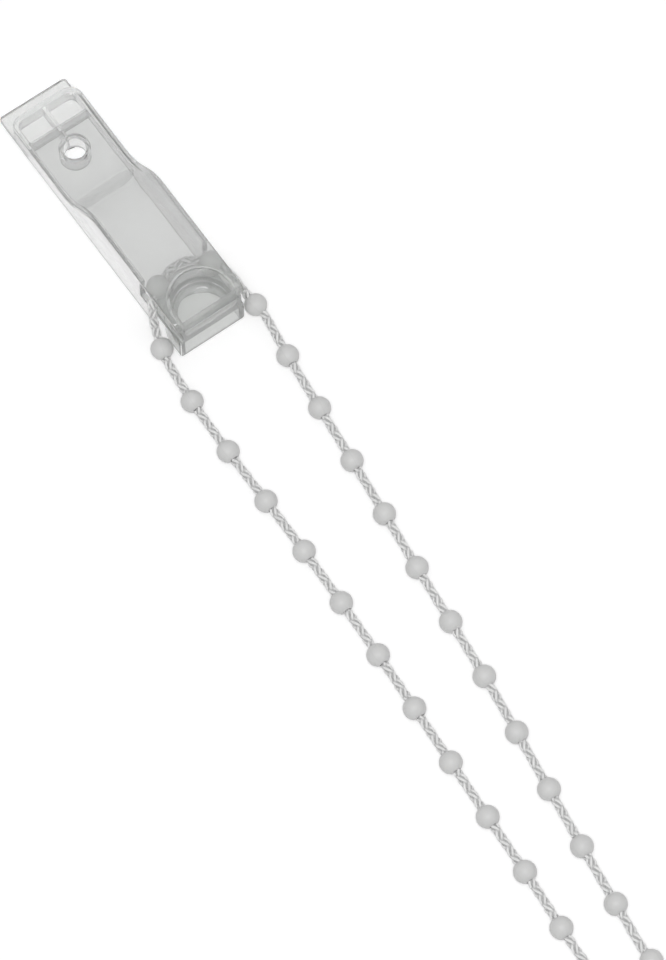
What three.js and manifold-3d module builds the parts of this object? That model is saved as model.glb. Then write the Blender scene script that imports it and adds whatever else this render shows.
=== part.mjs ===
// Ball chain of a roller blind, threaded through its clear wall holder and laid flat.
// Millimetres, Z up. The origin is under the middle of the holder, on the table.
// X runs along the holder, from its screw end to the drum that the chain passes round.

import * as THREE from 'three';
import { mergeVertices } from 'three/addons/utils/BufferGeometryUtils.js';
import Module from 'manifold-3d';

// Holder: outside
const holderLength = 60;
const holderWidth = 15;
const lowHeight = 4.8;          // front face at the screw end
const highHeight = 12;          // front face over the chain
const rampStart = 20.5;         // along the holder, where the front face starts to rise
const rampLength = 13.5;
const rampBend = 0.45;          // share of the ramp that each of its bends takes
const footThickness = 1.2;      // thin foot that sticks out at the screw end
const footReach = 3.4;
const footCorner = 0.8;
const screwEndCorner = 2.6;
const drumEndCorner = 0.9;
const drumEndRounding = 2.2;    // where the front face turns down into the end face

// Holder: walls and hollows
const sideWall = 1.1;
const frontWall = 1.2;
const endPocketLength = 4.9;    // open pocket in the front, ahead of the end wall
const pocketCorner = 0.4;
const ribThickness = 0.7;       // along the middle, from the end wall to the screw boss
const ribBelowFront = 0.4;

// Screw hole
const screwHolePlace = 14.7;    // along the holder
const screwHoleBore = 4.3;
const screwHoleMouth = 5.3;
const screwHoleMouthDepth = 1.2;
const screwBossWall = 0.9;

// Drum that the chain passes round
const drumRadius = 6.45;        // bottom of the groove
const drumFlangeRadius = 7.1;
const drumCentreFromEnd = 3.4;
const ledgeTop = 5.7;           // the balls slide on this
const ledgeThickness = 1.2;
const ledgeRadius = 9.2;        // round the drum's centre
const windowLength = 9;         // opening in each side wall, measured back from the drum's centre
const slotLength = 6.1;         // the same opening, below the ledge

// Dished hollow in the front of the drum
const dishRadius = 5.8;
const dishFloorRadius = 4.2;
const dishWallDepth = 3.3;      // upright part, below the front face
const dishDepth = 6.2;
const dishEndWall = 1.1;

// Chain
const ballDiameter = 4.3;
const ballPitch = 12;
const cordDiameter = 1.5;
const ballClearance = 0.3;      // round the cord, in the bore of a ball
const firstBall = 3.7;          // from the cord's end at the coil to the middle of the first ball
const ballCount = 30;

// Coil of the rest of the chain
const coilPlace = [219.2, -14];
const coilOuterRadius = 32.6;
const coilInnerRadius = 14.8;
const coilHeight = 9.2;
const strandCount = 4;          // side by side in each of the two layers

// The cord's route, from the coil along the left run, through the holder and back.
const liftOffTable = 0.05;
const lying = ballDiameter / 2 + liftOffTable;
const cordRoute = [
  [186.2, -12.2, lying], [182.3, -13.9, lying], [170.7, -15.9, lying], [146.8, -14.7, lying],
  [122.9, -13.4, lying], [98.8, -12.1, lying], [75.3, -11.4, lying], [51.5, -11.4, lying],
  [39.4, -11.1, lying], [29.2, -10.1, 2.0], [27.3, -9.6, 2.2], [25.5, -9.1, 2.8],
  [23.7, -8.6, 4.0], [22.1, -7.9, 5.5], [20.8, -7.0, 6.9], [19.9, -6.0, 7.8],
  [19.0, -4.4, 8.1], [18.2, -2.6, 8.1], [17.6, -0.7, 8.1], [17.5, 1.2, 8.1],
  [18.0, 3.1, 8.1], [19.2, 4.8, 8.1], [20.7, 6.3, 8.0], [22.4, 7.5, 7.6],
  [24.3, 8.3, 6.5], [26.3, 8.8, 4.7], [28.4, 9.3, 2.8], [30.2, 9.6, 2.2],
  [32.0, 9.8, 1.9], [42.3, 8.4, lying], [66.4, 5.9, lying], [90.3, 3.3, lying],
  [114.2, 0.9, lying], [138.0, -2.3, lying], [161.8, -5.3, lying], [173.7, -6.3, lying],
  [180.5, -4.6, lying], [187.2, -1.4, lying],
];
const runStep = 6;              // along the straight runs
const drumStep = 1.5;           // along the bends round the drum
const ballCountBeforeDrum = 13;
const drumPitches = 3;          // from the last ball before the drum to the first one after it
const cordSides = 8;

const wasm = await Module();
wasm.setup();

// Solids for cutting and joining

function solid(geometry) {
  const bare = geometry.clone();
  bare.deleteAttribute('normal');
  bare.deleteAttribute('uv');
  const merged = mergeVertices(bare, 1e-4);
  return new wasm.Manifold(new wasm.Mesh({
    numProp: 3,
    vertProperties: new Float32Array(merged.attributes.position.array),
    triVerts: new Uint32Array(merged.index.array),
  }));
}

function geometryOf(cutSolid) {
  const mesh = cutSolid.getMesh();
  const geometry = new THREE.BufferGeometry();
  geometry.setAttribute('position', new THREE.BufferAttribute(mesh.vertProperties.slice(), 3));
  geometry.setIndex(new THREE.BufferAttribute(mesh.triVerts.slice(), 1));
  geometry.computeVertexNormals();
  return geometry;
}

// An outline in plan, raised from bottom to top.
function raised(shape, bottom, top, curveSegments = 24) {
  const geometry = new THREE.ExtrudeGeometry(shape, {
    depth: top - bottom, bevelEnabled: false, curveSegments,
  });
  return geometry.translate(0, 0, bottom);
}

// A side outline in X and Z, as wide as given across the holder.
function acrossHolder(shape, width, curveSegments = 16) {
  const geometry = new THREE.ExtrudeGeometry(shape, {
    depth: width, bevelEnabled: false, curveSegments,
  });
  return geometry.rotateX(Math.PI / 2).translate(0, width / 2, 0);
}

function block(x0, x1, y0, y1, z0, z1) {
  const geometry = new THREE.BoxGeometry(x1 - x0, y1 - y0, z1 - z0);
  return geometry.translate((x0 + x1) / 2, (y0 + y1) / 2, (z0 + z1) / 2);
}

// Places along the holder
const screwEnd = -holderLength / 2;
const drumEnd = holderLength / 2;
const drumCentre = drumEnd - drumCentreFromEnd;
const stepPlace = screwEnd + footReach + sideWall + endPocketLength;
const inside = holderWidth / 2 - sideWall;
const beyond = 1;               // how far a cutter reaches past the face that it cuts

// A rectangle in plan with its own corner radius at each end.
function roundedPlan(x0, x1, width, cornerStart, cornerEnd) {
  const half = width / 2;
  const shape = new THREE.Shape();
  shape.moveTo(x0 + cornerStart, -half);
  shape.lineTo(x1 - cornerEnd, -half);
  shape.absarc(x1 - cornerEnd, -half + cornerEnd, cornerEnd, -Math.PI / 2, 0, false);
  shape.lineTo(x1, half - cornerEnd);
  shape.absarc(x1 - cornerEnd, half - cornerEnd, cornerEnd, 0, Math.PI / 2, false);
  shape.lineTo(x0 + cornerStart, half);
  shape.absarc(x0 + cornerStart, half - cornerStart, cornerStart, Math.PI / 2, Math.PI, false);
  shape.lineTo(x0, -half + cornerStart);
  shape.absarc(x0 + cornerStart, -half + cornerStart, cornerStart, Math.PI, 1.5 * Math.PI, false);
  return shape;
}

// The holder's height along its length: low, a smooth ramp, then high, and rounded at the drum end.
function sideOutline(x0, x1, bottom, lowered, rounding) {
  const low = lowHeight - lowered;
  const high = highHeight - lowered;
  const start = screwEnd + rampStart + lowered / 2;
  const end = start + rampLength;
  const bend = rampLength * rampBend;
  const shape = new THREE.Shape();
  shape.moveTo(x0, bottom);
  shape.lineTo(x1, bottom);
  shape.lineTo(x1, high - rounding);
  shape.absarc(x1 - rounding, high - rounding, rounding, 0, Math.PI / 2, false);
  shape.lineTo(end, high);
  shape.bezierCurveTo(end - bend, high, start + bend, low, start, low);
  shape.lineTo(x0, low);
  shape.closePath();
  return shape;
}

// The drum in plan: half round towards the screw end, straight to the end face.
function drumPlan(radius, endPlace) {
  const shape = new THREE.Shape();
  shape.moveTo(endPlace, -radius);
  shape.lineTo(endPlace, radius);
  shape.lineTo(drumCentre, radius);
  shape.absarc(drumCentre, 0, radius, Math.PI / 2, 1.5 * Math.PI, false);
  shape.closePath();
  return shape;
}

// A dish with a drum's plan: an upright wall that rounds in to a flat floor.
function dish() {
  const levelCount = 7;
  const arcPointCount = 28;
  const rings = [];
  for (let level = 0; level <= levelCount; level += 1) {
    const angle = (level / levelCount) * (Math.PI / 2);
    const radius = dishFloorRadius + (dishRadius - dishFloorRadius) * Math.sin(angle);
    const drop = dishWallDepth + (dishDepth - dishWallDepth) * Math.cos(angle);
    rings.push([radius, highHeight - drop]);
  }
  rings.push([dishRadius, highHeight + beyond]);
  const positions = [];
  for (const [radius, height] of rings) {
    const nearWall = drumEnd - dishEndWall - (dishRadius - radius);
    positions.push(nearWall, -radius, height, nearWall, radius, height);
    for (let i = 0; i <= arcPointCount; i += 1) {
      const angle = Math.PI / 2 + (Math.PI * i) / arcPointCount;
      positions.push(drumCentre + radius * Math.cos(angle), radius * Math.sin(angle), height);
    }
  }
  const count = arcPointCount + 3;
  const faces = [];
  for (let ring = 0; ring < rings.length - 1; ring += 1) {
    for (let i = 0; i < count; i += 1) {
      const a = ring * count + i;
      const b = ring * count + (i + 1) % count;
      faces.push(a, b, b + count, a, b + count, a + count);
    }
  }
  const top = (rings.length - 1) * count;
  for (let i = 1; i < count - 1; i += 1) {
    faces.push(0, i + 1, i, top, top + i, top + i + 1);
  }
  const geometry = new THREE.BufferGeometry();
  geometry.setAttribute('position', new THREE.Float32BufferAttribute(positions, 3));
  geometry.setIndex(faces);
  return geometry;
}

// A round bore or boss that stands upright.
function upright(radius, bottom, top, x, segments = 32) {
  const geometry = new THREE.CylinderGeometry(radius, radius, top - bottom, segments);
  return geometry.rotateX(Math.PI / 2).translate(x, 0, (bottom + top) / 2);
}

function holder() {
  const bodyStart = screwEnd + footReach;
  const plan = roundedPlan(bodyStart, drumEnd, holderWidth, screwEndCorner, drumEndCorner);
  const profile = sideOutline(bodyStart, drumEnd, 0, 0, drumEndRounding);
  let body = solid(raised(plan, 0, highHeight)).intersect(solid(acrossHolder(profile, holderWidth)));

  const foot = roundedPlan(screwEnd, stepPlace, holderWidth, footCorner, footCorner);
  body = body.add(solid(raised(foot, 0, footThickness)));

  // Back hollow, with the rib, the screw boss, the drum and its ledge left standing
  const hollow = sideOutline(stepPlace, drumEnd + beyond, -beyond, frontWall, beyond);
  let cutter = solid(acrossHolder(hollow, 2 * inside));
  const underLedge = ledgeTop - ledgeThickness;
  const groove = highHeight - frontWall;
  const window = block(drumCentre - windowLength, drumEnd + beyond,
    -holderWidth, holderWidth, ledgeTop, groove);
  const slot = block(drumCentre - slotLength, drumEnd + beyond,
    -holderWidth, holderWidth, -beyond, ledgeTop);
  cutter = cutter.add(solid(window)).add(solid(slot));
  const endOfDrum = drumEnd + 2 * beyond;
  const ledgeAcross = block(screwEnd, endOfDrum, -drumFlangeRadius, drumFlangeRadius,
    underLedge, ledgeTop);
  const ledge = solid(raised(drumPlan(ledgeRadius, endOfDrum), underLedge, ledgeTop, 40))
    .intersect(solid(ledgeAcross));
  const screwPlace = screwEnd + screwHolePlace;
  const ribTop = lowHeight - ribBelowFront;
  const ribInHollow = block(stepPlace - beyond, screwPlace,
    -ribThickness / 2, ribThickness / 2, -2 * beyond, ribTop);
  const kept = solid(raised(drumPlan(drumRadius, endOfDrum), -2 * beyond, highHeight, 40))
    .add(solid(raised(drumPlan(drumFlangeRadius, endOfDrum), -2 * beyond, ledgeTop, 40)))
    .add(ledge)
    .add(solid(ribInHollow))
    .add(solid(upright(screwHoleBore / 2 + screwBossWall, -2 * beyond, lowHeight, screwPlace)));
  body = body.subtract(cutter.subtract(kept));

  // Screw hole, with a wider mouth in the front
  const bore = upright(screwHoleBore / 2, -beyond, lowHeight + beyond, screwPlace);
  const mouth = upright(screwHoleMouth / 2, lowHeight - screwHoleMouthDepth, lowHeight + beyond,
    screwPlace);
  body = body.subtract(solid(bore)).subtract(solid(mouth));

  // Open pocket at the screw end, with its middle rib left standing
  const pocketPlan = roundedPlan(bodyStart + sideWall, stepPlace, 2 * inside,
    screwEndCorner - sideWall, pocketCorner);
  const pocket = solid(raised(pocketPlan, footThickness, lowHeight + beyond));
  const rib = block(bodyStart, stepPlace + beyond, -ribThickness / 2, ribThickness / 2, 0, ribTop);
  body = body.subtract(pocket.subtract(solid(rib)));

  // Dish in the front of the drum, and the hollow behind its floor
  const drumBack = drumPlan(drumFlangeRadius - sideWall, drumEnd - dishEndWall);
  body = body.subtract(solid(dish()))
    .subtract(solid(raised(drumBack, -beyond, highHeight - dishDepth - frontWall, 40)));
  return geometryOf(body);
}

// The curve that the cord follows
const route = new THREE.CatmullRomCurve3(
  cordRoute.map((point) => new THREE.Vector3(...point)), false, 'centripetal');
route.arcLengthDivisions = 4000;
const routeLength = route.getLength();

// Distances along the cord, close together round the drum and wide apart on the runs
function cordStations() {
  const lastBallBefore = firstBall + ballCountBeforeDrum * ballPitch;
  const drumStretchStart = lastBallBefore - ballDiameter;
  const drumStretchEnd = lastBallBefore + drumPitches * ballPitch + ballDiameter;
  const stretches = [
    [0, drumStretchStart, runStep],
    [drumStretchStart, drumStretchEnd, drumStep],
    [drumStretchEnd, routeLength, runStep],
  ];
  const stations = [0];
  for (const [from, to, step] of stretches) {
    const count = Math.ceil((to - from) / step);
    for (let i = 1; i <= count; i += 1) stations.push(from + ((to - from) * i) / count);
  }
  return stations;
}

// The route, walked from station to station
class SteppedRoute extends THREE.Curve {
  constructor(stations) {
    super();
    this.stations = stations;
  }

  share(t) {
    return this.stations[Math.round(t * (this.stations.length - 1))] / routeLength;
  }

  getPointAt(t) {
    return route.getPointAt(this.share(t));
  }

  getTangentAt(t) {
    return route.getTangentAt(this.share(t));
  }
}

function cordTube() {
  const section = new THREE.Shape();
  for (let i = 0; i < cordSides; i += 1) {
    const angle = ((i + 0.5) / cordSides) * 2 * Math.PI;
    const x = (cordDiameter / 2) * Math.cos(angle);
    const y = (cordDiameter / 2) * Math.sin(angle);
    if (i === 0) section.moveTo(x, y);
    else section.lineTo(x, y);
  }
  section.closePath();
  const stations = cordStations();
  const path = new SteppedRoute(stations);
  return new THREE.ExtrudeGeometry(section, { steps: stations.length - 1, extrudePath: path });
}

// A ball with its bore along Y
function ball() {
  const radius = ballDiameter / 2;
  const bore = cordDiameter / 2 + ballClearance;
  const halfLength = Math.sqrt(radius ** 2 - bore ** 2);
  const steepest = Math.atan2(halfLength, bore);
  const arcStepCount = 7;
  const profile = [];
  for (let i = 0; i <= arcStepCount; i += 1) {
    const angle = -steepest + (2 * steepest * i) / arcStepCount;
    profile.push(new THREE.Vector2(radius * Math.cos(angle), radius * Math.sin(angle)));
  }
  profile.push(profile[0].clone());
  return new THREE.LatheGeometry(profile, 12);
}

// The rest of the chain, as the outside shape of its coil: two layers of strands side by side
function coil() {
  const width = (coilOuterRadius - coilInnerRadius) / strandCount;
  const height = coilHeight / 2;
  const quarter = Math.PI / 2;
  const profile = new THREE.Shape();
  const strand = (number, layer, from, to) => profile.absellipse(
    coilInnerRadius + (number + 0.5) * width, (layer + 0.5) * height,
    width / 2, height / 2, from * quarter, to * quarter, false);
  const last = strandCount - 1;
  profile.moveTo(coilInnerRadius, height / 2);
  for (let i = 0; i < last; i += 1) strand(i, 0, 2, 4);
  strand(last, 0, 2, 5);
  strand(last, 1, 3, 6);
  for (let i = last - 1; i > 0; i -= 1) strand(i, 1, 0, 2);
  strand(0, 1, 0, 3);
  strand(0, 0, 1, 2);
  const outline = profile.getPoints(3);
  outline[outline.length - 1] = outline[0].clone();
  return new THREE.LatheGeometry(outline, 40).rotateX(Math.PI / 2);
}

const clearPlastic = new THREE.MeshStandardMaterial({
  name: 'clear_plastic', color: 0xdfe3e4, roughness: 0.08, metalness: 0,
});
const whitePlastic = new THREE.MeshStandardMaterial({
  name: 'white_plastic', color: 0xe9e9e8, roughness: 0.35, metalness: 0,
});
const braid = new THREE.MeshStandardMaterial({
  name: 'white_braid', color: 0xf2f2f0, roughness: 0.8, metalness: 0,
});

function named(name, geometry, material) {
  const mesh = new THREE.Mesh(geometry, material);
  mesh.name = name;
  return mesh;
}

const chain = new THREE.Group();
chain.add(named('chain_holder', holder(), clearPlastic));
chain.add(named('chain_cord', cordTube(), braid));

const axisOfBall = new THREE.Vector3(0, 1, 0);
for (let i = 0; i < ballCount; i += 1) {
  const along = (firstBall + i * ballPitch) / routeLength;
  const bead = named(`chain_ball_${String(i + 1).padStart(2, '0')}`, ball(), whitePlastic);
  bead.position.copy(route.getPointAt(along));
  bead.quaternion.setFromUnitVectors(axisOfBall, route.getTangentAt(along).normalize());
  chain.add(bead);
}

const spareChain = named('coiled_chain', coil(), whitePlastic);
spareChain.position.set(coilPlace[0], coilPlace[1], 0);
chain.add(spareChain);

export default chain;
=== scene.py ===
import math

import bmesh
import bpy
import numpy as np
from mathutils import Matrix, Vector


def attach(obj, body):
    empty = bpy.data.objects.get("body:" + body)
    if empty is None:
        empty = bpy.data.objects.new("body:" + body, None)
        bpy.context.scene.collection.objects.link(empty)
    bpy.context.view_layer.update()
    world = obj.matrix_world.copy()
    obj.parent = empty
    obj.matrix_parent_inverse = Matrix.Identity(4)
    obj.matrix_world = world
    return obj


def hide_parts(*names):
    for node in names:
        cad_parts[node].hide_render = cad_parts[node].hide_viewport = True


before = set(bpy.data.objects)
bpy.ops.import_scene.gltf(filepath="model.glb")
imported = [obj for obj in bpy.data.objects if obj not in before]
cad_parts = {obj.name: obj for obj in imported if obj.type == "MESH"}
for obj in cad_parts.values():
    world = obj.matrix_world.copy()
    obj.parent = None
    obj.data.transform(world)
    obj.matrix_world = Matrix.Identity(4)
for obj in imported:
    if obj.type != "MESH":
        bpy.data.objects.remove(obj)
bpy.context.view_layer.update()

# Sizes, in metres

MM = 0.001

BALL_DIAMETER = 4.3 * MM
BALL_PITCH = 12 * MM
BALL_BORE = 1.4 * MM
BALL_LIP = 0.14 * MM
BALL_COUNT = 125
RUN_BALLS = 30
BALL_AT_DRUM = 15
FIRST_BALL = 3.7 * MM

CORD_DIAMETER = 1.5 * MM
LOOP_LENGTH = BALL_COUNT * BALL_PITCH
STRANDS_EACH_WAY = 4
STRAND_THICKNESS = 0.48 * MM
STRAND_LAY = 7.0 * MM
STRAND_WEAVE = 0.12 * MM
CORE_DIAMETER = 1.1 * MM
BRAID_RADIUS = CORD_DIAMETER / 2 - STRAND_THICKNESS / 2 + STRAND_WEAVE / 3
HIDDEN_HALF = 1.75 * MM

HOLDER_EDGE = 0.17 * MM
STEP_LINE = -20.6 * MM
DRUM_START = 18 * MM
FINE_STEP = 0.5 * MM
SAME_PLACE = 0.01 * MM
MERGE_DISTANCE = 0.002 * MM


# Small helpers


def new_object(name, data):
    obj = bpy.data.objects.new(name, data)
    bpy.context.scene.collection.objects.link(obj)
    return obj


def aimed(obj, place, aim):
    """Puts a camera or lamp at a place, looking at another."""
    obj.location = place
    obj.rotation_euler = (Vector(aim) - Vector(place)).to_track_quat("-Z", "Y").to_euler()


def smoothstep(t):
    """Eases from zero to one, level at both ends."""
    t = min(1.0, max(0.0, t))
    return t * t * (3 - 2 * t)


def through(points, step):
    """A centripetal Catmull-Rom curve through the points, as points about a step apart."""
    p = np.asarray(points, float)
    p = np.vstack([2 * p[0] - p[1], p, 2 * p[-1] - p[-2]])
    out = []
    for i in range(1, len(p) - 2):
        p0, p1, p2, p3 = p[i - 1 : i + 3]
        d0, d1, d2 = (
            max(np.linalg.norm(b - a), 1e-9) ** 0.5
            for a, b in ((p0, p1), (p1, p2), (p2, p3))
        )
        m1 = ((p1 - p0) / d0 - (p2 - p0) / (d0 + d1) + (p2 - p1) / d1) * d1
        m2 = ((p2 - p1) / d1 - (p3 - p1) / (d1 + d2) + (p3 - p2) / d2) * d1
        count = max(1, math.ceil(np.linalg.norm(p2 - p1) / step))
        t = (np.arange(count) / count)[:, None]
        cubic = 3 * (p2 - p1) - 2 * m1 - m2
        out.append(p1 + m1 * t + cubic * t**2 + (2 * (p1 - p2) + m1 + m2) * t**3)
    out.append(p[-2:-1])
    return np.vstack(out)


def distances(points):
    """Each point's distance along the line from its first point."""
    lengths = np.linalg.norm(np.diff(points, axis=0), axis=1)
    return np.concatenate([[0.0], np.cumsum(lengths)])


def point_at(points, along, s):
    """The point at a distance along a line."""
    return np.array([np.interp(s, along, points[:, k]) for k in range(3)])


# The camera

CAMERA_PLACE = (0.3291, -0.1853, 0.7787)
CAMERA_AIM = (0.0661, 0.00145, 0.0)
CAMERA_LENS = 173.34
FILM_HEIGHT = 36


def make_camera():
    data = bpy.data.cameras.new("camera")
    data.sensor_fit = "VERTICAL"
    data.sensor_height = FILM_HEIGHT
    data.lens = CAMERA_LENS
    data.clip_start = 0.01
    data.clip_end = 20
    camera = new_object("camera", data)
    aimed(camera, CAMERA_PLACE, CAMERA_AIM)
    bpy.context.scene.camera = camera
    bpy.context.scene.view_settings.view_transform = "Standard"


make_camera()


# The chain's route over the table, from the coil along the left run, round the drum
# and back along the right run, in millimetres

ROUTE = [
    (186.2, -12.2, 2.2), (182.3, -13.9, 2.2), (170.7, -15.9, 2.2), (146.8, -14.7, 2.2),
    (122.9, -13.4, 2.2), (98.8, -12.1, 2.2), (75.3, -11.4, 2.2), (51.5, -11.4, 2.2),
    (39.4, -11.1, 2.2), (29.2, -10.1, 2.0), (27.3, -9.6, 2.2), (25.5, -9.1, 2.8),
    (23.7, -8.6, 4.0), (22.1, -7.9, 5.5), (20.8, -7.0, 6.9), (19.9, -6.0, 7.8),
    (19.0, -4.4, 8.1), (18.2, -2.6, 8.1), (17.6, -0.7, 8.1), (17.5, 1.2, 8.1),
    (18.0, 3.1, 8.1), (19.2, 4.8, 8.1), (20.7, 6.3, 8.0), (22.4, 7.5, 7.6),
    (24.3, 8.3, 6.5), (26.3, 8.8, 4.7), (28.4, 9.3, 2.8), (30.2, 9.6, 2.2),
    (32.0, 9.8, 1.9), (42.3, 8.4, 2.2), (66.4, 5.9, 2.2), (90.3, 3.3, 2.2),
    (114.2, 0.9, 2.2), (138.0, -2.3, 2.2), (161.8, -5.3, 2.2), (173.7, -6.3, 2.2),
    (180.5, -4.6, 2.2), (187.2, -1.4, 2.2),
]
INTO_COIL = (189.6, 0.4, 2.3)
OUT_OF_COIL = (190.4, -9.0, 2.35)

# The rest of the loop is wound double, the right run outside and the left run inside it.
# Each knot is a clockwise angle in degrees, then the outer strand's radius and its height.
COIL_CENTRE = (219.2, -14.0)
SIDE_BY_SIDE = 4.35
LOWER_LAYER = 2.5
UPPER_LAYER = 6.85
OUTER_LAP = 30.35
INNER_LAP = 21.35
WINDING = [
    (20, 33.5, 2.2), (46, OUTER_LAP, LOWER_LAYER), (312, OUTER_LAP, LOWER_LAYER),
    (373, 24.7, LOWER_LAYER), (403, INNER_LAP, LOWER_LAYER), (664, INNER_LAP, LOWER_LAYER),
    (714, INNER_LAP, UPPER_LAYER), (1018, INNER_LAP, UPPER_LAYER),
    (1054, OUTER_LAP, UPPER_LAYER), (2600, OUTER_LAP, UPPER_LAYER),
]
OUTER_START = 28
INNER_START = 32
WINDING_STEP = 12
BIGHT_STEP = 6
BIGHT_WIDTH = 6.35
BIGHT_DRAW = 30
BIGHT_POINTS = 8
END_ANGLE_RANGE = (1150, 1500)
BISECTIONS = 24


def winding_at(angle):
    """The outer strand's radius and height at an angle of the winding."""
    for (a0, r0, z0), (a1, r1, z1) in zip(WINDING, WINDING[1:]):
        if angle <= a1:
            t = smoothstep((angle - a0) / (a1 - a0))
            return r0 + (r1 - r0) * t, z0 + (z1 - z0) * t


def on_coil(angle, radius, height, ahead=0.0):
    """A point at an angle and radius of the coil, moved ahead along its turn."""
    a = math.radians(angle)
    x = COIL_CENTRE[0] - radius * math.cos(a) + ahead * math.sin(a)
    y = COIL_CENTRE[1] + radius * math.sin(a) + ahead * math.cos(a)
    return x, y, height


def coil_points(end_angle):
    """The doubled winding, out along the right run's strand, round the bight and back."""
    outer, inner = [], []
    angle = OUTER_START
    while angle < end_angle:
        radius, height = winding_at(angle)
        drawn = smoothstep((angle - end_angle + BIGHT_DRAW) / BIGHT_DRAW)
        apart = SIDE_BY_SIDE + (BIGHT_WIDTH - SIDE_BY_SIDE) * drawn
        outer.append(on_coil(angle, radius, height))
        if angle > INNER_START:
            inner.append(on_coil(angle, radius - apart, height))
        near_bight = angle >= end_angle - BIGHT_DRAW - WINDING_STEP
        angle += BIGHT_STEP if near_bight else WINDING_STEP
    radius, height = winding_at(end_angle)
    half = BIGHT_WIDTH / 2
    turns = [math.pi * k / BIGHT_POINTS for k in range(BIGHT_POINTS + 1)]
    bight = [
        on_coil(end_angle, radius - half + half * math.cos(t), height, half * math.sin(t))
        for t in turns
    ]
    return outer + bight + inner[::-1]


def whole_loop(end_angle):
    """The closed loop: left run, drum, right run, coil, and back to the left run."""
    points = ROUTE + [INTO_COIL] + coil_points(end_angle) + [OUT_OF_COIL, ROUTE[0]]
    return through(np.array(points) * MM, FINE_STEP)


def fitted_loop():
    """The loop whose winding ends where its length is the cord's."""
    low, high = END_ANGLE_RANGE
    for _ in range(BISECTIONS):
        middle = (low + high) / 2
        if distances(whole_loop(middle))[-1] < LOOP_LENGTH:
            low = middle
        else:
            high = middle
    return whole_loop(low)


def cut_open(loop, s):
    """The closed loop opened at a distance along it, so that both ends meet there."""
    along = distances(loop)
    start = point_at(loop, along, s)
    after = loop[along > s + SAME_PLACE][:-1]
    before = loop[along < s - SAME_PLACE]
    return np.vstack([start, after, before, start])


route = through(np.array(ROUTE) * MM, FINE_STEP)
route_length = distances(route)[-1]

# The cut lies inside the ball at the drum.
cut = FIRST_BALL + (BALL_AT_DRUM - 1) * BALL_PITCH
path = cut_open(fitted_loop(), cut)
path_along = distances(path)


# Shader trees


class Shade:
    """A shader node tree whose nodes are added and wired by short calls."""

    def __init__(self, tree):
        self.tree = tree

    def add(self, kind, inputs=None, **settings):
        node = self.tree.nodes.new(kind)
        for key, value in settings.items():
            setattr(node, key, value)
        for key, value in (inputs or {}).items():
            self.feed(node.inputs[key], value)
        return node

    def feed(self, socket, value):
        if isinstance(value, bpy.types.NodeSocket):
            self.tree.links.new(value, socket)
        else:
            socket.default_value = value

    def math(self, operation, *values):
        node = self.add("ShaderNodeMath", operation=operation)
        for socket, value in zip(node.inputs, values):
            self.feed(socket, value)
        return node.outputs[0]

    def ramp(self, value, low, high, to_low=0.0, to_high=1.0):
        """A smooth step from one value to another."""
        inputs = {
            "Value": value, "From Min": low, "From Max": high, "To Min": to_low, "To Max": to_high,
        }
        return self.add("ShaderNodeMapRange", inputs, interpolation_type="SMOOTHSTEP").outputs[0]

    def mix(self, share, low, high, blend="MIX"):
        """A colour between two others, or their product with the blend set to MULTIPLY."""
        node = self.add("ShaderNodeMix", data_type="RGBA", blend_type=blend)
        self.feed(node.inputs["Factor"], share)
        colours = [socket for socket in node.inputs if socket.type == "RGBA"]
        self.feed(colours[0], low)
        self.feed(colours[1], high)
        return next(socket for socket in node.outputs if socket.type == "RGBA")

    def place(self, scale=(1, 1, 1)):
        """Object coordinates, times a scale on each axis."""
        source = self.add("ShaderNodeTexCoord").outputs["Object"]
        return self.add("ShaderNodeMapping", {"Vector": source, "Scale": scale}).outputs[0]


def shader_group(name, inputs, outputs):
    """A node group, its tree, its input node's sockets and its output node."""
    tree = bpy.data.node_groups.new(name, "ShaderNodeTree")
    for label, kind, value in inputs:
        socket = tree.interface.new_socket(label, in_out="INPUT", socket_type=kind)
        if value is not None:
            socket.default_value = value
    for label in outputs:
        tree.interface.new_socket(label, in_out="OUTPUT", socket_type="NodeSocketFloat")
    shade = Shade(tree)
    start = shade.add("NodeGroupInput").outputs
    end = shade.add("NodeGroupOutput")
    return tree, shade, start, end


def mottle_group():
    """Slow, faint changes of tone over a surface, about a level of one."""
    tree, shade, start, end = shader_group(
        "mottle",
        [
            ("Place", "NodeSocketVector", None),
            ("Patches per metre", "NodeSocketFloat", 300.0),
            ("Depth", "NodeSocketFloat", 0.05),
        ],
        ["Level"],
    )
    noise = shade.add(
        "ShaderNodeTexNoise",
        {"Vector": start["Place"], "Scale": start["Patches per metre"], "Detail": 3.0},
    ).outputs[0]
    swing = shade.math("MULTIPLY", shade.math("SUBTRACT", noise, 0.5), start["Depth"])
    shade.feed(end.inputs["Level"], shade.math("ADD", swing, 1.0))
    return tree


def grain_group():
    """Fine bumps of a moulded or spun surface, with a height from zero to one."""
    tree, shade, start, end = shader_group(
        "grain",
        [
            ("Place", "NodeSocketVector", None),
            ("Grains per metre", "NodeSocketFloat", 4000.0),
            ("Softness", "NodeSocketFloat", 0.5),
        ],
        ["Height"],
    )
    noise = shade.add(
        "ShaderNodeTexNoise",
        {
            "Vector": start["Place"],
            "Scale": start["Grains per metre"],
            "Detail": 2.0,
            "Roughness": start["Softness"],
        },
    ).outputs[0]
    shade.feed(end.inputs["Height"], noise)
    return tree


MOTTLE = mottle_group()
GRAIN = grain_group()


def from_group(shade, tree, inputs):
    """Places a node group in a material with its own values, and returns what it puts out."""
    node = shade.add("ShaderNodeGroup", node_tree=tree)
    for label, value in inputs.items():
        shade.feed(node.inputs[label], value)
    return node.outputs[0]


def mottle(shade, place, patches, depth):
    inputs = {"Place": place, "Patches per metre": patches, "Depth": depth}
    return from_group(shade, MOTTLE, inputs)


def grain(shade, place, grains, softness=0.5):
    inputs = {"Place": place, "Grains per metre": grains, "Softness": softness}
    return from_group(shade, GRAIN, inputs)


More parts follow.
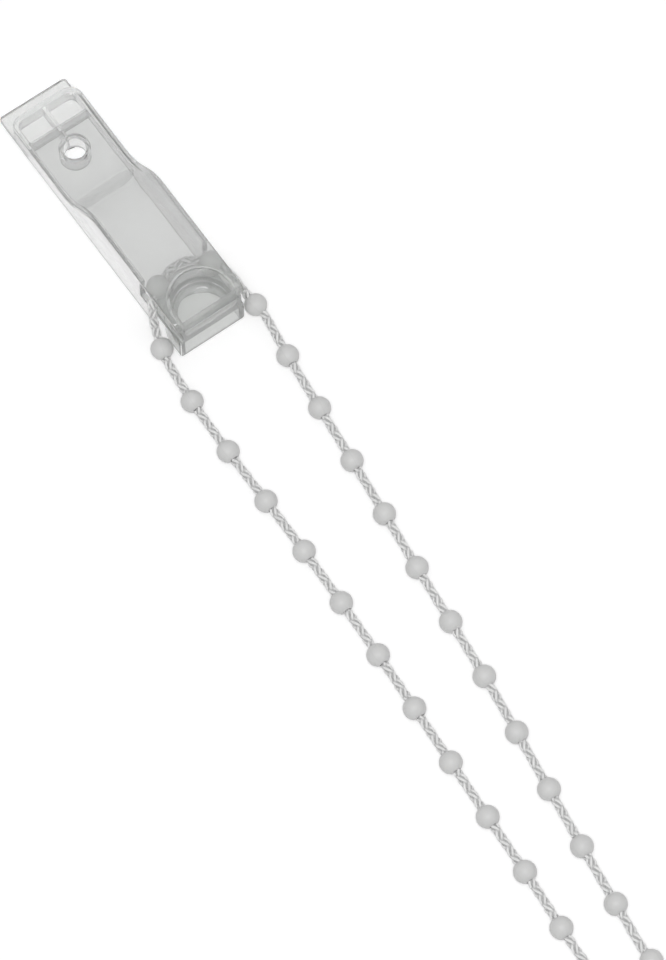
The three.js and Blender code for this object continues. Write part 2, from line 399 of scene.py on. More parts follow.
def bump(shade, height, strength, distance):
    inputs = {"Height": height, "Strength": strength, "Distance": distance}
    return shade.add("ShaderNodeBump", inputs).outputs[0]


def new_material(name):
    """A material, its shader tree and its shader."""
    made = bpy.data.materials.new(name)
    made.use_nodes = True
    return made, Shade(made.node_tree), made.node_tree.nodes["Principled BSDF"]


# Materials

BALL_WHITE = (0.74, 0.74, 0.735, 1)
PARTING_GREY = (0.70, 0.70, 0.695, 1)
PARTING_WIDTH = 0.08 * MM

# Fibre tones: painted lit and shaded fibres, each with a greyer painted shade for where the strands
# dive under
FIBRE_LIT = (1.0, 1.0, 0.995, 1)
FIBRE_LIT_IN_SHADE = (0.58, 0.58, 0.58, 1)
FIBRE_SHADED = (0.82, 0.82, 0.82, 1)
FIBRE_SHADED_IN_SHADE = (0.42, 0.42, 0.42, 1)

# Painted shade in the clear plastic's colour: the broad faces, the pocket and the drum end are
# darkened, and the rims are painted near black; the walls keep the plastic's own faint grey
PLATE_SHADE_DIM = (0.63, 0.635, 0.63, 1)
PLATE_SHADE_PALE = (0.67, 0.675, 0.67, 1)
POCKET_SHADE = (0.785, 0.79, 0.785, 1)
WALL_TINT = (0.93, 0.93, 0.93, 1)
DRUM_SHADE = (0.625, 0.635, 0.625, 1)
DRUM_WALL_SHADE = (0.74, 0.75, 0.74, 1)
RIM_SHADE = (0.04, 0.04, 0.04, 1)
DRUM_FADE = 6 * MM
STEP_FADE = 0.1 * MM
LIGHT_LET_THROUGH = 0.8

TIE_DIM = (0.66, 0.66, 0.65, 1)
TIE_LIGHT = (0.78, 0.78, 0.77, 1)


def ball_plastic_material():
    """Moulded white plastic with a parting line through the cord's axis."""
    made, shade, shader = new_material("ball_plastic")
    place = shade.place()
    on_ball = shade.add("ShaderNodeAttribute", attribute_name="on_ball").outputs["Vector"]
    across = shade.add("ShaderNodeSeparateXYZ", {"Vector": on_ball}).outputs["X"]
    off_line = shade.math("ABSOLUTE", across)
    parting = shade.ramp(off_line, PARTING_WIDTH / 4, PARTING_WIDTH, 1.0, 0.0)
    tone = mottle(shade, place, 420.0, 0.10)
    level = shade.add("ShaderNodeCombineColor", {"Red": tone, "Green": tone, "Blue": tone})
    plain = shade.mix(parting, BALL_WHITE, PARTING_GREY)
    shade.feed(shader.inputs["Base Color"], shade.mix(1.0, plain, level.outputs[0], "MULTIPLY"))
    fine = grain(shade, place, 3200.0)
    shade.feed(shader.inputs["Roughness"], shade.ramp(fine, 0.3, 0.7, 0.36, 0.48))
    height = shade.math("ADD", fine, shade.math("MULTIPLY", parting, 0.5))
    shade.feed(shader.inputs["Normal"], bump(shade, height, 0.5, 0.01 * MM))
    shader.inputs["Subsurface Weight"].default_value = 0.25
    shader.inputs["Subsurface Radius"].default_value = (0.9, 0.9, 0.85)
    shader.inputs["Subsurface Scale"].default_value = 1.2 * MM
    return made


def cord_braid_material():
    """White polyester strands with painted light and shade: lit and shaded fibres, bright on the
    crowns, painted shade where strands dive under and on the core.
    """
    made, shade, shader = new_material("cord_braid")
    rise = shade.add("ShaderNodeAttribute", attribute_name="strand_rise").outputs["Fac"]
    strand = shade.add("ShaderNodeAttribute", attribute_name="strand_place").outputs["Vector"]
    fibres = grain(shade, strand, 1.0, 0.6)
    # Painted shade: strands go grey where they dive under, and so does the core, which has no rise
    crown = shade.ramp(rise, 0.15, 0.85)
    lit = shade.mix(crown, FIBRE_LIT_IN_SHADE, FIBRE_LIT)
    shaded = shade.mix(crown, FIBRE_SHADED_IN_SHADE, FIBRE_SHADED)
    shade.feed(shader.inputs["Base Color"], shade.mix(shade.ramp(fibres, 0.35, 0.6), shaded, lit))
    shade.feed(shader.inputs["Roughness"], shade.ramp(fibres, 0.3, 0.7, 0.42, 0.6))
    shade.feed(shader.inputs["Normal"], bump(shade, fibres, 0.6, 0.05 * MM))
    return made


def clear_plastic_material():
    """Clear moulded plastic, a little milky, with painted shade: broad faces darker than walls, the
    pocket less so, the drum end darker, and dark rims.
    """
    made, shade, shader = new_material("clear_plastic")
    place = shade.place()
    source = shade.add("ShaderNodeTexCoord").outputs
    along = shade.add("ShaderNodeSeparateXYZ", {"Vector": source["Object"]}).outputs["X"]
    upward = shade.add("ShaderNodeSeparateXYZ", {"Vector": source["Normal"]}).outputs["Z"]
    broad = shade.ramp(shade.math("ABSOLUTE", upward), 0.3, 0.7)
    in_pocket = shade.ramp(along, STEP_LINE - STEP_FADE, STEP_LINE + STEP_FADE, 1.0, 0.0)
    at_drum = shade.ramp(along, DRUM_START, DRUM_START + DRUM_FADE)
    # Painted shade: broad faces, the drum end and, less, the pocket are darkened, in random patches,
    # for the shadowed table seen through them; walls stay clearer
    plate_shade = shade.mix(mottle(shade, place, 90.0, 0.5), PLATE_SHADE_DIM, PLATE_SHADE_PALE)
    broad_shade = shade.mix(in_pocket, plate_shade, POCKET_SHADE)
    low_part = shade.mix(broad, WALL_TINT, broad_shade)
    drum = shade.mix(broad, DRUM_WALL_SHADE, DRUM_SHADE)
    tint_and_shade = shade.mix(at_drum, low_part, drum)
    # Painted shade on the rims: dark on faces seen edge-on and on the rounded outline edges
    edge = shade.add("ShaderNodeAttribute", attribute_name="edge_shade").outputs["Fac"]
    facing = shade.add("ShaderNodeLayerWeight", {"Blend": 0.5}).outputs["Facing"]
    rim_shade = shade.math("MAXIMUM", shade.ramp(facing, 0.84, 1.0, 0.0, 0.6), edge)
    shade.feed(shader.inputs["Base Color"], shade.mix(rim_shade, tint_and_shade, RIM_SHADE))
    haze = shade.ramp(grain(shade, place, 260.0, 0.7), 0.35, 0.75, 0.03, 0.09)
    shade.feed(shader.inputs["Roughness"], haze)
    drag = grain(shade, shade.place((0.25, 1.0, 1.0)), 900.0, 0.6)
    shade.feed(shader.inputs["Normal"], bump(shade, drag, 0.25, 0.02 * MM))
    shadow = shade.add("ShaderNodeLightPath").outputs["Is Shadow Ray"]
    alpha = shade.math("SUBTRACT", 1.0, shade.math("MULTIPLY", shadow, LIGHT_LET_THROUGH))
    shade.feed(shader.inputs["Alpha"], alpha)
    shader.inputs["IOR"].default_value = 1.49
    shader.inputs["Transmission Weight"].default_value = 0.78
    return made


def tie_plastic_material():
    """Milky soft plastic of the flat tie."""
    made, shade, shader = new_material("tie_plastic")
    place = shade.place()
    tone = shade.ramp(mottle(shade, place, 500.0, 0.6), 0.85, 1.15)
    shade.feed(shader.inputs["Base Color"], shade.mix(tone, TIE_DIM, TIE_LIGHT))
    fine = grain(shade, place, 2500.0)
    shade.feed(shader.inputs["Roughness"], shade.ramp(fine, 0.3, 0.7, 0.34, 0.5))
    shade.feed(shader.inputs["Normal"], bump(shade, fine, 0.3, 0.03 * MM))
    return made


BALL_PLASTIC = ball_plastic_material()
CORD_BRAID = cord_braid_material()
CLEAR_PLASTIC = clear_plastic_material()
TIE_PLASTIC = tie_plastic_material()


# Geometry node trees

FIBRES_ALONG = 700.0
FIBRES_ROUND = 9.0
STRAND_SHIFT = 3.7
CORE_SIDES = 8


class Tree(Shade):
    """A geometry node tree with named inputs, whose sockets are found by name."""

    def __init__(self, name, inputs):
        super().__init__(bpy.data.node_groups.new(name, "GeometryNodeTree"))
        face = self.tree.interface
        face.new_socket("Geometry", in_out="INPUT", socket_type="NodeSocketGeometry")
        for label, kind, value in inputs:
            socket = face.new_socket(label, in_out="INPUT", socket_type=kind)
            if value is not None:
                socket.default_value = value
        face.new_socket("Geometry", in_out="OUTPUT", socket_type="NodeSocketGeometry")
        self.start = self.add("NodeGroupInput").outputs
        self.end = self.add("NodeGroupOutput")

    def vector(self, operation, *values, scale=None):
        node = self.add("ShaderNodeVectorMath", operation=operation)
        for socket, value in zip(node.inputs, values):
            self.feed(socket, value)
        if scale is not None:
            self.feed(node.inputs["Scale"], scale)
        return node.outputs[0]

    def capture(self, geometry, kind, value):
        """Keeps a field's value on the points, and returns the geometry and the kept value."""
        node = self.add("GeometryNodeCaptureAttribute", domain="POINT")
        node.capture_items.new(kind, "kept")
        self.feed(node.inputs[0], geometry)
        self.feed(node.inputs[1], value)
        return node.outputs[0], node.outputs[1]

    def store(self, geometry, name, kind, value):
        node = self.add("GeometryNodeStoreNamedAttribute", data_type=kind, domain="POINT")
        self.feed(node.inputs["Geometry"], geometry)
        self.feed(node.inputs["Name"], name)
        self.feed(node.inputs["Value"], value)
        return node.outputs[0]

    def finish(self, geometry, finish):
        """Ends the tree in plain geometry with its material."""
        joined = self.add("GeometryNodeRealizeInstances", {"Geometry": geometry}).outputs[0]
        coat = {"Geometry": joined, "Material": finish}
        coated = self.add("GeometryNodeSetMaterial", coat).outputs[0]
        self.feed(self.end.inputs[0], coated)


def run_tree(tree, name, base, values):
    """Runs the tree on a base object's data, and returns the result as a plain mesh object."""
    carrier = new_object(name + "_carrier", base)
    modifier = carrier.modifiers.new("nodes", "NODES")
    modifier.node_group = tree
    for item in tree.interface.items_tree:
        if item.in_out == "INPUT" and item.name in values:
            modifier[item.identifier] = values[item.name]
    bpy.context.view_layer.update()
    evaluated = carrier.evaluated_get(bpy.context.evaluated_depsgraph_get())
    mesh = bpy.data.meshes.new_from_object(evaluated)
    mesh.name = name
    bpy.data.objects.remove(carrier)
    return new_object(name, mesh)


def polyline(name, points):
    """A curve of straight lines through the points, turned about itself as little as it can."""
    curve = bpy.data.curves.new(name, "CURVE")
    curve.dimensions = "3D"
    curve.twist_mode = "MINIMUM"
    spline = curve.splines.new("POLY")
    spline.points.add(len(points) - 1)
    flat = np.ones((len(points), 4), np.float32)
    flat[:, :3] = points
    spline.points.foreach_set("co", flat.ravel())
    return curve


def balls_tree():
    """Balls at an even pitch along a line, each turned about it by a seeded random angle."""
    t = Tree(
        "balls_on_cord",
        [
            ("Ball", "NodeSocketObject", None),
            ("Count", "NodeSocketInt", 10),
            ("Pitch", "NodeSocketFloat", BALL_PITCH),
            ("First", "NodeSocketFloat", 0.0),
            ("Seed", "NodeSocketInt", 7),
            ("Finish", "NodeSocketMaterial", None),
        ],
    )
    start = t.start
    number = t.add("GeometryNodeInputIndex").outputs[0]
    place = t.math("ADD", t.math("MULTIPLY", number, start["Pitch"]), start["First"])
    line = {"Curves": start["Geometry"], "Length": place}
    sample = t.add("GeometryNodeSampleCurve", line, mode="LENGTH").outputs
    dots = t.add("GeometryNodePoints", {"Count": start["Count"], "Position": sample["Position"]})
    along = t.add("FunctionNodeAlignRotationToVector", {"Vector": sample["Tangent"]}, axis="Z")
    spin = t.add("FunctionNodeRandomValue", data_type="FLOAT")
    spread = [s for s in spin.inputs if s.type == "VALUE" and s.enabled]
    t.feed(spread[0], 0.0)
    t.feed(spread[1], 2 * math.pi)
    t.feed(spin.inputs["Seed"], start["Seed"])
    angle = next(s for s in spin.outputs if s.type == "VALUE" and s.enabled)
    about = t.add("FunctionNodeAxisAngleToRotation", {"Axis": (0, 0, 1), "Angle": angle})
    turned = t.add(
        "FunctionNodeRotateRotation",
        {"Rotation": along.outputs[0], "Rotate By": about.outputs[0]},
        rotation_space="LOCAL",
    )
    form = t.add("GeometryNodeObjectInfo", {"Object": start["Ball"], "As Instance": True})
    copies = t.add(
        "GeometryNodeInstanceOnPoints",
        {
            "Points": dots.outputs[0],
            "Instance": form.outputs["Geometry"],
            "Rotation": turned.outputs[0],
        },
    )
    t.finish(copies.outputs[0], start["Finish"])
    return t.tree


def braid_tree():
    """A round braid about a line, each strand over two and under two, left out inside the balls."""
    t = Tree(
        "round_braid",
        [
            ("Stations", "NodeSocketInt", 1000),
            ("Strands each way", "NodeSocketInt", STRANDS_EACH_WAY),
            ("Lay", "NodeSocketFloat", STRAND_LAY),
            ("Mean radius", "NodeSocketFloat", BRAID_RADIUS),
            ("Weave", "NodeSocketFloat", STRAND_WEAVE),
            ("Strand radius", "NodeSocketFloat", STRAND_THICKNESS / 2),
            ("Strand sides", "NodeSocketInt", 5),
            ("Along start", "NodeSocketFloat", 0.0),
            ("Ball pitch", "NodeSocketFloat", BALL_PITCH),
            ("Hidden half length", "NodeSocketFloat", HIDDEN_HALF),
            ("Core radius", "NodeSocketFloat", CORE_DIAMETER / 2),
            ("Core stations", "NodeSocketInt", 300),
            ("Finish", "NodeSocketMaterial", None),
        ],
    )
    start = t.start
    fine = {"Curve": start["Geometry"], "Count": start["Stations"]}
    line = t.add("GeometryNodeResampleCurve", fine, mode="COUNT").outputs[0]
    length = t.add("GeometryNodeSplineParameter").outputs["Length"]
    tangent = t.add("GeometryNodeInputTangent").outputs[0]
    normal = t.add("GeometryNodeInputNormal").outputs[0]
    line, along = t.capture(line, "FLOAT", length)
    line, side_way = t.capture(line, "VECTOR", normal)
    line, up_way = t.capture(line, "VECTOR", t.vector("CROSS_PRODUCT", tangent, normal))
    amount = t.math("MULTIPLY", start["Strands each way"], 2.0)
    copies = t.add(
        "GeometryNodeDuplicateElements", {"Geometry": line, "Amount": amount}, domain="SPLINE"
    )
    number = copies.outputs["Duplicate Index"]
    hand = t.math("SUBTRACT", t.math("MULTIPLY", t.math("MODULO", number, 2.0), 2.0), 1.0)
    distance = t.math("ADD", along, start["Along start"])
    turn = t.math("MULTIPLY", t.math("DIVIDE", distance, start["Lay"]), 2 * math.pi)
    pair = t.math("FLOOR", t.math("DIVIDE", number, 2.0))
    share = t.math("DIVIDE", pair, start["Strands each way"])
    whole_turn = t.math("MULTIPLY", share, 2 * math.pi)
    angle = t.math("ADD", t.math("MULTIPLY", turn, hand), whole_turn)
    crossings = t.math("MULTIPLY", turn, t.math("MULTIPLY", start["Strands each way"], 0.5))
    wave = t.math("COSINE", t.math("SUBTRACT", crossings, math.pi / 4))
    over = t.math("MULTIPLY", wave, hand)
    radius = t.math("ADD", start["Mean radius"], t.math("MULTIPLY", over, start["Weave"]))
    sideways = t.math("MULTIPLY", t.math("COSINE", angle), radius)
    upwards = t.math("MULTIPLY", t.math("SINE", angle), radius)
    offset = t.vector(
        "ADD",
        t.vector("SCALE", side_way, scale=sideways),
        t.vector("SCALE", up_way, scale=upwards),
    )
    moved = t.add("GeometryNodeSetPosition", {"Geometry": copies.outputs[0], "Offset": offset})
    rise = t.math("ADD", t.math("MULTIPLY", over, 0.5), 0.5)
    strands = t.store(moved.outputs[0], "strand_rise", "FLOAT", rise)
    ring = {"Resolution": start["Strand sides"], "Radius": start["Strand radius"]}
    circle = t.add("GeometryNodeCurvePrimitiveCircle", ring, mode="RADIUS").outputs[0]
    section, round_strand = t.capture(circle, "FLOAT", t.add("GeometryNodeSplineParameter").outputs[0])
    tubes = t.add(
        "GeometryNodeCurveToMesh", {"Curve": strands, "Profile Curve": section}
    ).outputs[0]
    fibre_place = t.add(
        "ShaderNodeCombineXYZ",
        {
            "X": t.math("MULTIPLY", distance, FIBRES_ALONG),
            "Y": t.math("MULTIPLY", round_strand, FIBRES_ROUND),
            "Z": t.math("MULTIPLY", number, STRAND_SHIFT),
        },
    ).outputs[0]
    tubes = t.store(tubes, "strand_place", "FLOAT_VECTOR", fibre_place)
    balls_passed = t.math("ROUND", t.math("DIVIDE", distance, start["Ball pitch"]))
    nearest = t.math("SUBTRACT", distance, t.math("MULTIPLY", balls_passed, start["Ball pitch"]))
    hidden = t.math("LESS_THAN", t.math("ABSOLUTE", nearest), start["Hidden half length"])
    cleared = t.add(
        "GeometryNodeDeleteGeometry", {"Geometry": tubes, "Selection": hidden}, domain="POINT"
    )
    coarse = {"Curve": start["Geometry"], "Count": start["Core stations"]}
    core_line = t.add("GeometryNodeResampleCurve", coarse, mode="COUNT").outputs[0]
    core_ring = t.add(
        "GeometryNodeCurvePrimitiveCircle",
        {"Resolution": CORE_SIDES, "Radius": start["Core radius"]},
        mode="RADIUS",
    ).outputs[0]
    core = t.add(
        "GeometryNodeCurveToMesh",
        {"Curve": core_line, "Profile Curve": core_ring, "Fill Caps": True},
    )
    both = t.add("GeometryNodeJoinGeometry")
    t.feed(both.inputs[0], cleared.outputs[0])
    t.feed(both.inputs[0], core.outputs[0])
    rounded = t.add("GeometryNodeSetShadeSmooth", {"Geometry": both.outputs[0]})
    t.finish(rounded.outputs[0], start["Finish"])
    return t.tree


# Balls

BALL_SIDES = 20
BALL_ROWS = 12
LIP_ROWS = 2


def turned_mesh(name, profile, sides):
    """A closed ring-shaped mesh turned about Z from a closed profile of radius and height."""
    verts, faces = [], []
    for r, z in profile:
        for k in range(sides):
            a = 2 * math.pi * k / sides
            verts.append((r * math.cos(a), r * math.sin(a), z))
    rows = len(profile)
    for j in range(rows):
        this_row, next_row = j * sides, (j + 1) % rows * sides
        for k in range(sides):
            n = (k + 1) % sides
            faces.append((this_row + k, this_row + n, next_row + n, next_row + k))
    mesh = bpy.data.meshes.new(name)
    mesh.from_pydata(verts, [], faces)
    mesh.polygons.foreach_set("use_smooth", [True] * len(faces))
    return mesh


def ball_form():
    """A ball about Z with a rounded bore, and each point's place on it as an attribute."""
    radius, bore, lip = BALL_DIAMETER / 2, BALL_BORE / 2, BALL_LIP
    half = math.sqrt((radius - lip) ** 2 - (bore + lip) ** 2)
    steepest = math.atan2(half, bore + lip)
    profile = []
    for i in range(BALL_ROWS + 1):
        a = -steepest + 2 * steepest * i / BALL_ROWS
        profile.append((radius * math.cos(a), radius * math.sin(a)))
    for k in range(1, LIP_ROWS + 1):
        a = steepest + (math.pi - steepest) * k / LIP_ROWS
        profile.append((bore + lip + lip * math.cos(a), half + lip * math.sin(a)))
    low_lip = [(r, -z) for r, z in profile[: -LIP_ROWS - 1 : -1]]
    mesh = turned_mesh("ball_form", low_lip + profile, BALL_SIDES)
    places = np.empty(len(mesh.vertices) * 3, np.float32)
    mesh.vertices.foreach_get("co", places)
    mesh.attributes.new("on_ball", "FLOAT_VECTOR", "POINT").data.foreach_set("vector", places)
    return new_object("ball_form", mesh)


def make_balls():
    """The balls of the two runs, and those of the coil."""
    form = ball_form()
    tree = balls_tree()
    runs = run_tree(
        tree,
        "chain_balls",
        polyline("route_line", route),
        {"Ball": form, "Count": RUN_BALLS, "First": FIRST_BALL, "Finish": BALL_PLASTIC},
    )
    coil = run_tree(
        tree,
        "coil_balls",
        polyline("chain_line", path),
        {
            "Ball": form,
            "Count": BALL_COUNT - RUN_BALLS,
            "First": (RUN_BALLS + 1 - BALL_AT_DRUM) * BALL_PITCH,
            "Finish": BALL_PLASTIC,
        },
    )
    bpy.data.objects.remove(form)
    return runs, coil


chain_balls, coil_balls = make_balls()


# The cord, finer in the two runs than in the coil

RUN_STATIONS = 24
RUN_SIDES = 6
COIL_STATIONS = 14
COIL_SIDES = 4
CORE_STEP = 1.5 * MM


def stretch(a, b):
    """The part of the path between two distances along it."""
    inside = path[(path_along > a + SAME_PLACE) & (path_along < b - SAME_PLACE)]
    return np.vstack([point_at(path, path_along, a), inside, point_at(path, path_along, b)])


def cord_part(tree, name, a, b, stations, sides):
    """The braid between two distances, with so many stations in each lay of a strand."""
    return run_tree(
        tree,
        name,
        polyline(name, stretch(a, b)),
        {
            "Stations": int((b - a) / STRAND_LAY * stations),
            "Strand sides": sides,
            "Along start": a,
            "Core stations": int((b - a) / CORE_STEP),
            "Finish": CORD_BRAID,
        },
    )


def joined(name, parts):
    """The parts as one object, with the first part's data."""
    with bpy.context.temp_override(
        active_object=parts[0],
        object=parts[0],
        selected_editable_objects=parts,
        selected_objects=parts,
    ):
        bpy.ops.object.join()
    parts[0].name = parts[0].data.name = name
    return parts[0]


def make_cord():
    """The whole loop of cord, as one piece."""
    tree = braid_tree()
    right_end = route_length - cut
    left_start = path_along[-1] - cut
    return joined(
        "braided_cord",
        [
            cord_part(tree, "right_run", 0.0, right_end, RUN_STATIONS, RUN_SIDES),
            cord_part(tree, "coil_run", right_end, left_start, COIL_STATIONS, COIL_SIDES),
            cord_part(tree, "left_run", left_start, path_along[-1], RUN_STATIONS, RUN_SIDES),
        ],
    )


chain_cord = make_cord()


# The tie round the coil's section, a flat band whose two ends are twisted together.
# Its place and way are in degrees and millimetres, as the coil's winding is.

TIE_WIDTH = 2.6 * MM
TIE_END_WIDTH = 1.04 * MM
TIE_THICKNESS = 0.26 * MM

TIE_ANGLE = 205
TIE_INNER = 14.68
TIE_OUTER = 32.7
TIE_BOTTOM = 0.19
TIE_TOP = 9.17
TIE_CORNER = 3.2
CORNER_STEPS = 6
TWIST_LENGTH = 9.0
TWIST_TURNS = 3
TWIST_STEPS = 12
TWIST_RADIUS = 0.42
TWIST_GAP = 0.35
OPENING_SHARE = 1 / 6
TWIST_HEIGHT = 4.7


def band_mesh(name, points, across, width, thickness):
    """A flat band along the points, as wide as asked in the direction given at each."""
    points, across = np.asarray(points), np.asarray(across)
    tangents = np.gradient(points, axis=0)
    tangents /= np.linalg.norm(tangents, axis=1)[:, None]
    side = across - (across * tangents).sum(1)[:, None] * tangents
    side /= np.linalg.norm(side, axis=1)[:, None]
    up = np.cross(side, tangents)
    edge = thickness / 2
    dip = edge * 0.7
    section = [
        (width / 2, 0), (width / 2 - edge, edge), (width / 4, dip), (0, edge),
        (-width / 4, dip), (-width / 2 + edge, edge), (-width / 2, 0),
        (-width / 2 + edge, -edge), (0, -edge), (width / 2 - edge, -edge),
    ]
    verts, faces = [], []
    for p, s, u in zip(points, side, up):
        verts += [tuple(p + s * a + u * b) for a, b in section]
    n = len(section)
    for j in range(len(points) - 1):
        for k in range(n):
            m = (k + 1) % n
            faces.append((j * n + k, j * n + m, (j + 1) * n + m, (j + 1) * n + k))
    faces.append(tuple(range(n - 1, -1, -1)))
    faces.append(tuple((len(points) - 1) * n + k for k in range(n)))
    mesh = bpy.data.meshes.new(name)
    mesh.from_pydata(verts, [], faces)
    form = bmesh.new()
    form.from_mesh(mesh)
    bmesh.ops.recalc_face_normals(form, faces=form.faces)
    form.to_mesh(mesh)
    form.free()
    mesh.polygons.foreach_set("use_smooth", [True] * len(mesh.polygons))
    return mesh


def section_loop():
    """The tie's way round the coil's section, as radius and height, from its outer side."""
    c = TIE_CORNER
    corners = [
        (TIE_OUTER - c, TIE_TOP - c, 0), (TIE_INNER + c, TIE_TOP - c, 90),
        (TIE_INNER + c, TIE_BOTTOM + c, 180), (TIE_OUTER - c, TIE_BOTTOM + c, 270),
    ]
    way = [(TIE_OUTER, TWIST_HEIGHT)]
    for r, z, start in corners:
        for k in range(CORNER_STEPS + 1):
            a = math.radians(start + 90 * k / CORNER_STEPS)
            way.append((r + c * math.cos(a), z + c * math.sin(a)))
    return way + [(TIE_OUTER, TWIST_HEIGHT)]


def twisted_end(phase):
    """One of the two ends, wound round the other along the coil's outer side."""
    points, across = [], []
    count = TWIST_STEPS * TWIST_TURNS
    centre = TIE_OUTER + TWIST_RADIUS + TWIST_GAP
    for k in range(count + 1):
        share = k / count
        a = 2 * math.pi * TWIST_TURNS * share + phase
        spread = TWIST_RADIUS * smoothstep(share / OPENING_SHARE)
        angle = TIE_ANGLE + math.degrees(TWIST_LENGTH * share / centre)
        radius = centre + spread * math.cos(a)
        points.append(on_coil(angle, radius, TWIST_HEIGHT + spread * math.sin(a)))
        t = math.radians(angle)
        outward = np.array([-math.cos(t), math.sin(t), 0.0])
        across.append(outward * math.cos(a) + np.array([0.0, 0.0, 1.0]) * math.sin(a))
    return np.array(points) * MM, across


def make_tie():
    """The band round the section and its two twisted ends."""
    t = math.radians(TIE_ANGLE)
    along_coil = np.array([math.sin(t), math.cos(t), 0.0])
    loop = np.array([on_coil(TIE_ANGLE, r, z) for r, z in section_loop()]) * MM
    loop_across = [along_coil] * len(loop)
    band = band_mesh("tie_loop", loop, loop_across, TIE_WIDTH, TIE_THICKNESS)
    parts = [new_object("tie_loop", band)]
    for phase in (0.0, math.pi):
        points, across = twisted_end(phase)
        mesh = band_mesh("tie_end", points, across, TIE_END_WIDTH, TIE_THICKNESS)
        parts.append(new_object("tie_end", mesh))
    tie = joined("coil_tie", parts)
    tie.data.materials.append(TIE_PLASTIC)
    return tie


coil_tie = make_tie()


# The holder, with the small round edges of a moulding

EDGE_ANGLE = math.radians(38)
FLAT_WEIGHT = 100
TABLE_EDGE = 0.4 * MM
LONG_EDGE = 7.05 * MM
FACE_EDGE = 0.05 * MM
FOOT_TOP = 1.3 * MM
FOOT_LINE = -25.8 * MM

# Painted shade on the rounded outline edges, darkest at the foot and along the table
TABLE_SHADE = 0.55
FOOT_SHADE = 0.6
LONG_SHADE = 0.42
OTHER_SHADE = 0.1


def shade_on_edge(x, y, z):
    """The painted shade on an edge's rounding: most at the foot and the table, less along the front.
    """
    if z < TABLE_EDGE:
        return TABLE_SHADE
    if x < FOOT_LINE and z < FOOT_TOP:
        return FOOT_SHADE
    if abs(y) > LONG_EDGE and x < DRUM_START:
        return LONG_SHADE
    return OTHER_SHADE


def on_outline(edge):
    """True for an outward edge along the holder's sides, its foot or its underside."""
    if not (edge.is_manifold and edge.is_convex and edge.calc_face_angle() > EDGE_ANGLE):
        return False
    ends = [end.co for end in edge.verts]
    return all(abs(at.y) > LONG_EDGE or at.x < FOOT_LINE or at.z < FACE_EDGE for at in ends)


def round_outer_edges(form):
    """Rounds the outline's edges, and keeps each new face's painted shade as an attribute."""
    tone = form.faces.layers.float.new("edge_shade")
    outer = [edge for edge in form.edges if on_outline(edge)]
    rounded = bmesh.ops.bevel(
        form,
        geom=outer,
        offset=HOLDER_EDGE,
        offset_type="OFFSET",
        segments=2,
        profile=0.5,
        affect="EDGES",
        clamp_overlap=False,
    )
    for face in rounded["faces"]:
        face[tone] = shade_on_edge(*face.calc_center_median())
    many_sided = [face for face in form.faces if len(face.verts) > 4]
    bmesh.ops.triangulate(form, faces=many_sided)


def make_holder():
    """The holder's solid with the small round edges of a moulding."""
    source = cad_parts["chain_holder"].data
    points = [tuple(vertex.co) for vertex in source.vertices]
    mesh = bpy.data.meshes.new("clear_holder")
    mesh.from_pydata(points, [], [tuple(face.vertices) for face in source.polygons])
    form = bmesh.new()
    form.from_mesh(mesh)
    bmesh.ops.remove_doubles(form, verts=form.verts, dist=MERGE_DISTANCE)
    round_outer_edges(form)
    form.to_mesh(mesh)
    form.free()
    mesh.polygons.foreach_set("use_smooth", [True] * len(mesh.polygons))
    mesh.set_sharp_from_angle(angle=EDGE_ANGLE)
    mesh.materials.append(CLEAR_PLASTIC)
    holder = new_object("clear_holder", mesh)
    flats = holder.modifiers.new("flats", "WEIGHTED_NORMAL")
    flats.keep_sharp = True
    flats.weight = FLAT_WEIGHT
    return holder


clear_holder = make_holder()


# The frame

for piece, slot in (
    (chain_balls, "ball_plastic"),
    (coil_balls, "ball_plastic"),
    (chain_cord, "cord_braid"),
    (coil_tie, "ball_plastic"),
    (clear_holder, "clear_plastic"),
):
    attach(piece, "root")
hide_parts(*[f"chain_ball_{i:02d}" for i in range(1, RUN_BALLS + 1)])
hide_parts("coiled_chain")
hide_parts("chain_cord", "coiled_chain")
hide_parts("chain_holder")


# The floor and the light

FLOOR_HALF = 3.0
FLOOR_LEVEL = -0.05 * MM
FLOOR_GLOW = 0.4

SURROUND_LOW = 0.2
SURROUND_HIGH = 0.55
SURROUND_RISE = 0.6

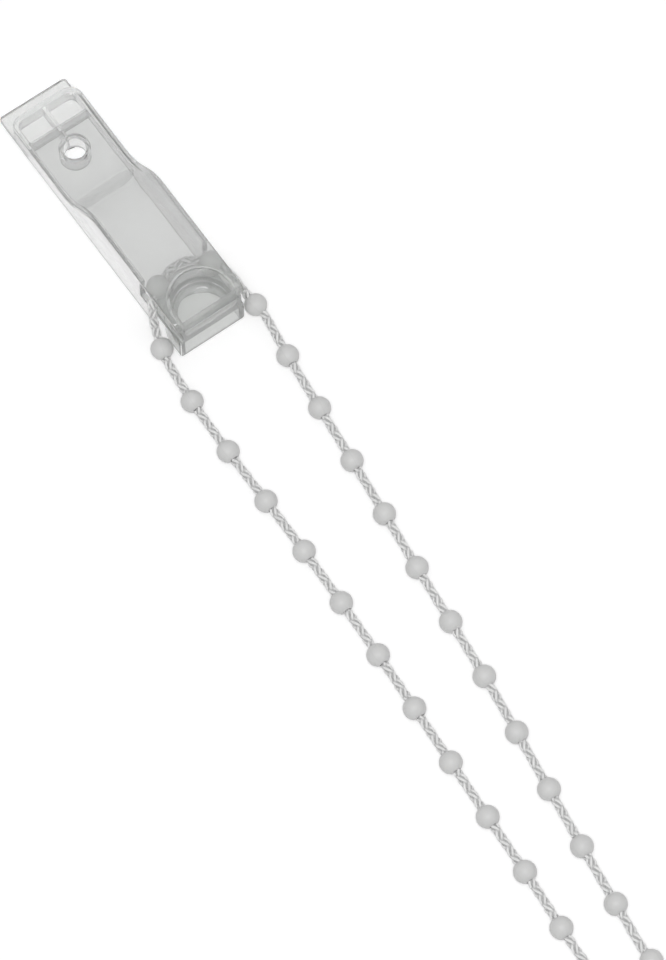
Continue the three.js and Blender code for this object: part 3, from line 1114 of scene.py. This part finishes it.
LAMP_PLACE = (0.33, -0.22, 0.97)
LAMP_AIM = (0.08, 0, 0)
LAMP_SIZE = 0.4
LAMP_POWER = 3.3


def seen_rays(shade):
    """One for rays from the camera, or for what gloss and clear plastic show, else zero."""
    rays = shade.add("ShaderNodeLightPath").outputs
    through_or_gloss = shade.math("MAXIMUM", rays["Is Glossy Ray"], rays["Is Transmission Ray"])
    return shade.math("MAXIMUM", rays["Is Camera Ray"], through_or_gloss)


def make_floor():
    """A white floor that keeps a soft shadow and is seen as white by camera and gloss."""
    h, z = FLOOR_HALF, FLOOR_LEVEL
    mesh = bpy.data.meshes.new("floor")
    mesh.from_pydata([(-h, -h, z), (h, -h, z), (h, h, z), (-h, h, z)], [], [(0, 1, 2, 3)])
    made, shade, shader = new_material("white_floor")
    shader.inputs["Base Color"].default_value = (0.8, 0.8, 0.8, 1)
    shader.inputs["Roughness"].default_value = 1.0
    shader.inputs["Specular IOR Level"].default_value = 0.0
    shader.inputs["Emission Color"].default_value = (1, 1, 1, 1)
    glow = shade.math("MULTIPLY", seen_rays(shade), FLOOR_GLOW)
    shade.feed(shader.inputs["Emission Strength"], glow)
    mesh.materials.append(made)
    floor = new_object("floor", mesh)


def make_world():
    """A plain pale surround, dimmer towards the horizon, and white where it is seen."""
    world = bpy.data.worlds.new("studio")
    bpy.context.scene.world = world
    world.use_nodes = True
    shade = Shade(world.node_tree)
    background = world.node_tree.nodes["Background"]
    background.inputs["Color"].default_value = (1, 1, 1, 1)
    direction = shade.add("ShaderNodeTexCoord").outputs["Generated"]
    height = shade.add("ShaderNodeSeparateXYZ", {"Vector": direction}).outputs["Z"]
    light = shade.ramp(height, 0.0, SURROUND_RISE, SURROUND_LOW, SURROUND_HIGH)
    shade.feed(background.inputs["Strength"], shade.math("MAXIMUM", light, seen_rays(shade)))


def make_lamp():
    """One soft lamp high over the table."""
    data = bpy.data.lights.new("key_lamp", "AREA")
    data.shape = "DISK"
    data.size = LAMP_SIZE
    data.energy = LAMP_POWER
    aimed(new_object("key_lamp", data), LAMP_PLACE, LAMP_AIM)


make_floor()
make_world()
make_lamp()
